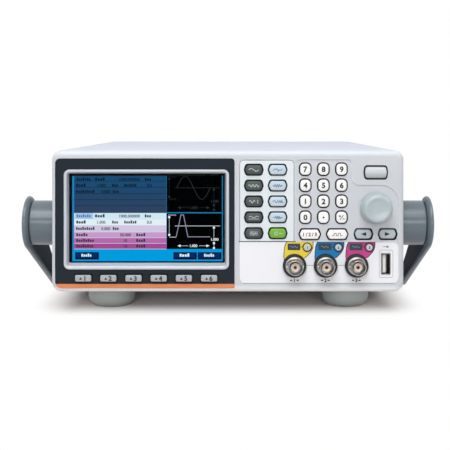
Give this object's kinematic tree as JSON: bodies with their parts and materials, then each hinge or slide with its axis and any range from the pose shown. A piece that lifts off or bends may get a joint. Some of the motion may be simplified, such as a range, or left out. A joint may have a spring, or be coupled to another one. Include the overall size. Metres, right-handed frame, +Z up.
{
  "type": "function generator",
  "caption": "Half-rack bench function generator with a colour display, menu keys, keypad, dial, coaxial outputs and a folding carry handle.",
  "frame": {"origin": "centre of the footprint, at the bottom of the feet", "axes": "+X to the right of the front panel, +Y from the front to the back, +Z up; the front faces -Y"},
  "size_m": [0.2648, 0.29, 0.1045],
  "materials": {
    "light_grey_frame": "fine satin moulding",
    "off_white_shell": "fine texture",
    "dark_slate_panel": "satin film",
    "orange_strip": "satin",
    "silver_paint": "silver paint on plastic",
    "clear_window": "clear",
    "display_glass": "gloss",
    "white_overlay": "satin film",
    "black_rubber": "matt",
    "circuit_board": "solder mask",
    "nickel_plate": "nickel plated",
    "grey_rear_panel": "powder coat",
    "grey_feet": "satin rubber",
    "grey_handle": "satin moulding",
    "black_plastic": "moulded",
    "zinc_steel": "zinc plated",
    "light_grey_key": "satin moulding",
    "slate_key": "satin moulding",
    "pale_blue_key": "satin moulding",
    "green_key": "satin moulding",
    "white_key": "satin moulding",
    "mid_grey_key": "satin moulding"
  },
  "bodies": {
    "case": {"front_frame": "light_grey_frame", "display_panel": "dark_slate_panel", "accent_strip": "orange_strip", "display_surround": "silver_paint", "display_lens": "clear_window", "lcd_module": "display_glass", "control_overlay": "white_overlay", "keypad_mats": "black_rubber", "key_boards": "circuit_board", "bnc_sockets": "nickel_plate", "data_sockets": "nickel_plate", "upper_cover": "off_white_shell", "lower_case": "off_white_shell", "rear_panel": "grey_rear_panel", "feet": "grey_feet", "handle_hubs": "grey_handle", "main_board": "circuit_board", "power_supply": "circuit_board", "fan_frame": "black_plastic", "mains_inlet": "black_plastic", "screws": "zinc_steel"},
    "handle": {"handle": "grey_handle"},
    "knob": {"knob": "light_grey_key"},
    "fan_rotor": {"fan_rotor": "black_plastic"},
    "power_button": {"power_button": "light_grey_key"},
    "softkey_1": {"softkey_1": "silver_paint"},
    "softkey_2": {"softkey_2": "silver_paint"},
    "softkey_3": {"softkey_3": "silver_paint"},
    "softkey_4": {"softkey_4": "silver_paint"},
    "softkey_5": {"softkey_5": "silver_paint"},
    "softkey_6": {"softkey_6": "silver_paint"},
    "key_waveform": {"key_waveform": "slate_key"},
    "key_frequency": {"key_frequency": "slate_key"},
    "key_amplitude": {"key_amplitude": "slate_key"},
    "key_offset": {"key_offset": "slate_key"},
    "key_utility": {"key_utility": "slate_key"},
    "key_arb": {"key_arb": "pale_blue_key"},
    "key_modulation": {"key_modulation": "pale_blue_key"},
    "key_sweep": {"key_sweep": "pale_blue_key"},
    "key_burst": {"key_burst": "pale_blue_key"},
    "key_preset": {"key_preset": "green_key"},
    "key_0": {"key_0": "white_key"},
    "key_1": {"key_1": "white_key"},
    "key_2": {"key_2": "white_key"},
    "key_3": {"key_3": "white_key"},
    "key_4": {"key_4": "white_key"},
    "key_5": {"key_5": "white_key"},
    "key_6": {"key_6": "white_key"},
    "key_7": {"key_7": "white_key"},
    "key_8": {"key_8": "white_key"},
    "key_9": {"key_9": "white_key"},
    "key_point": {"key_point": "white_key"},
    "key_sign": {"key_sign": "white_key"},
    "key_channel": {"key_channel": "white_key"},
    "key_pulse": {"key_pulse": "white_key"},
    "key_left": {"key_left": "mid_grey_key"},
    "key_right": {"key_right": "mid_grey_key"},
    "output_key_1": {"output_key_1": "silver_paint"},
    "output_key_2": {"output_key_2": "silver_paint"},
    "output_key_3": {"output_key_3": "silver_paint"}
  },
  "joints": [
    {"name": "handle_pivot", "type": "hinge", "parent": "case", "child": "handle", "pos_m": [0, -0.1035, 0.0565], "axis": [-1, 0, 0], "range_deg": [0, 236.7]},
    {"name": "knob_turn", "type": "hinge", "parent": "case", "child": "knob", "pos_m": [0.09245, -0.138, 0.0688], "axis": [0, 1, 0], "continuous": true},
    {"name": "fan_spin", "type": "hinge", "parent": "case", "child": "fan_rotor", "pos_m": [0.03, 0.1225, 0.06], "axis": [0, 1, 0], "continuous": true},
    {"name": "power_press", "type": "slide", "parent": "case", "child": "power_button", "axis": [0, 1, 0], "range_m": [0, 0.0012], "stiffness_N_per_m": 1000},
    {"name": "softkey_1_press", "type": "slide", "parent": "case", "child": "softkey_1", "axis": [0, 1, 0], "range_m": [0, 0.0008], "stiffness_N_per_m": 800},
    {"name": "softkey_2_press", "type": "slide", "parent": "case", "child": "softkey_2", "axis": [0, 1, 0], "range_m": [0, 0.0008], "stiffness_N_per_m": 800},
    {"name": "softkey_3_press", "type": "slide", "parent": "case", "child": "softkey_3", "axis": [0, 1, 0], "range_m": [0, 0.0008], "stiffness_N_per_m": 800},
    {"name": "softkey_4_press", "type": "slide", "parent": "case", "child": "softkey_4", "axis": [0, 1, 0], "range_m": [0, 0.0008], "stiffness_N_per_m": 800},
    {"name": "softkey_5_press", "type": "slide", "parent": "case", "child": "softkey_5", "axis": [0, 1, 0], "range_m": [0, 0.0008], "stiffness_N_per_m": 800},
    {"name": "softkey_6_press", "type": "slide", "parent": "case", "child": "softkey_6", "axis": [0, 1, 0], "range_m": [0, 0.0008], "stiffness_N_per_m": 800},
    {"name": "key_waveform_press", "type": "slide", "parent": "case", "child": "key_waveform", "axis": [0, 1, 0], "range_m": [0, 0.0008], "stiffness_N_per_m": 800},
    {"name": "key_frequency_press", "type": "slide", "parent": "case", "child": "key_frequency", "axis": [0, 1, 0], "range_m": [0, 0.0008], "stiffness_N_per_m": 800},
    {"name": "key_amplitude_press", "type": "slide", "parent": "case", "child": "key_amplitude", "axis": [0, 1, 0], "range_m": [0, 0.0008], "stiffness_N_per_m": 800},
    {"name": "key_offset_press", "type": "slide", "parent": "case", "child": "key_offset", "axis": [0, 1, 0], "range_m": [0, 0.0008], "stiffness_N_per_m": 800},
    {"name": "key_utility_press", "type": "slide", "parent": "case", "child": "key_utility", "axis": [0, 1, 0], "range_m": [0, 0.0008], "stiffness_N_per_m": 800},
    {"name": "key_arb_press", "type": "slide", "parent": "case", "child": "key_arb", "axis": [0, 1, 0], "range_m": [0, 0.0008], "stiffness_N_per_m": 800},
    {"name": "key_modulation_press", "type": "slide", "parent": "case", "child": "key_modulation", "axis": [0, 1, 0], "range_m": [0, 0.0008], "stiffness_N_per_m": 800},
    {"name": "key_sweep_press", "type": "slide", "parent": "case", "child": "key_sweep", "axis": [0, 1, 0], "range_m": [0, 0.0008], "stiffness_N_per_m": 800},
    {"name": "key_burst_press", "type": "slide", "parent": "case", "child": "key_burst", "axis": [0, 1, 0], "range_m": [0, 0.0008], "stiffness_N_per_m": 800},
    {"name": "key_preset_press", "type": "slide", "parent": "case", "child": "key_preset", "axis": [0, 1, 0], "range_m": [0, 0.0008], "stiffness_N_per_m": 800},
    {"name": "key_0_press", "type": "slide", "parent": "case", "child": "key_0", "axis": [0, 1, 0], "range_m": [0, 0.0008], "stiffness_N_per_m": 800},
    {"name": "key_1_press", "type": "slide", "parent": "case", "child": "key_1", "axis": [0, 1, 0], "range_m": [0, 0.0008], "stiffness_N_per_m": 800},
    {"name": "key_2_press", "type": "slide", "parent": "case", "child": "key_2", "axis": [0, 1, 0], "range_m": [0, 0.0008], "stiffness_N_per_m": 800},
    {"name": "key_3_press", "type": "slide", "parent": "case", "child": "key_3", "axis": [0, 1, 0], "range_m": [0, 0.0008], "stiffness_N_per_m": 800},
    {"name": "key_4_press", "type": "slide", "parent": "case", "child": "key_4", "axis": [0, 1, 0], "range_m": [0, 0.0008], "stiffness_N_per_m": 800},
    {"name": "key_5_press", "type": "slide", "parent": "case", "child": "key_5", "axis": [0, 1, 0], "range_m": [0, 0.0008], "stiffness_N_per_m": 800},
    {"name": "key_6_press", "type": "slide", "parent": "case", "child": "key_6", "axis": [0, 1, 0], "range_m": [0, 0.0008], "stiffness_N_per_m": 800},
    {"name": "key_7_press", "type": "slide", "parent": "case", "child": "key_7", "axis": [0, 1, 0], "range_m": [0, 0.0008], "stiffness_N_per_m": 800},
    {"name": "key_8_press", "type": "slide", "parent": "case", "child": "key_8", "axis": [0, 1, 0], "range_m": [0, 0.0008], "stiffness_N_per_m": 800},
    {"name": "key_9_press", "type": "slide", "parent": "case", "child": "key_9", "axis": [0, 1, 0], "range_m": [0, 0.0008], "stiffness_N_per_m": 800},
    {"name": "key_point_press", "type": "slide", "parent": "case", "child": "key_point", "axis": [0, 1, 0], "range_m": [0, 0.0008], "stiffness_N_per_m": 800},
    {"name": "key_sign_press", "type": "slide", "parent": "case", "child": "key_sign", "axis": [0, 1, 0], "range_m": [0, 0.0008], "stiffness_N_per_m": 800},
    {"name": "key_channel_press", "type": "slide", "parent": "case", "child": "key_channel", "axis": [0, 1, 0], "range_m": [0, 0.0008], "stiffness_N_per_m": 800},
    {"name": "key_pulse_press", "type": "slide", "parent": "case", "child": "key_pulse", "axis": [0, 1, 0], "range_m": [0, 0.0008], "stiffness_N_per_m": 800},
    {"name": "key_left_press", "type": "slide", "parent": "case", "child": "key_left", "axis": [0, 1, 0], "range_m": [0, 0.0008], "stiffness_N_per_m": 800},
    {"name": "key_right_press", "type": "slide", "parent": "case", "child": "key_right", "axis": [0, 1, 0], "range_m": [0, 0.0008], "stiffness_N_per_m": 800},
    {"name": "output_key_1_press", "type": "slide", "parent": "case", "child": "output_key_1", "axis": [0, 1, 0], "range_m": [0, 0.0008], "stiffness_N_per_m": 800},
    {"name": "output_key_2_press", "type": "slide", "parent": "case", "child": "output_key_2", "axis": [0, 1, 0], "range_m": [0, 0.0008], "stiffness_N_per_m": 800},
    {"name": "output_key_3_press", "type": "slide", "parent": "case", "child": "output_key_3", "axis": [0, 1, 0], "range_m": [0, 0.0008], "stiffness_N_per_m": 800}
  ]
}
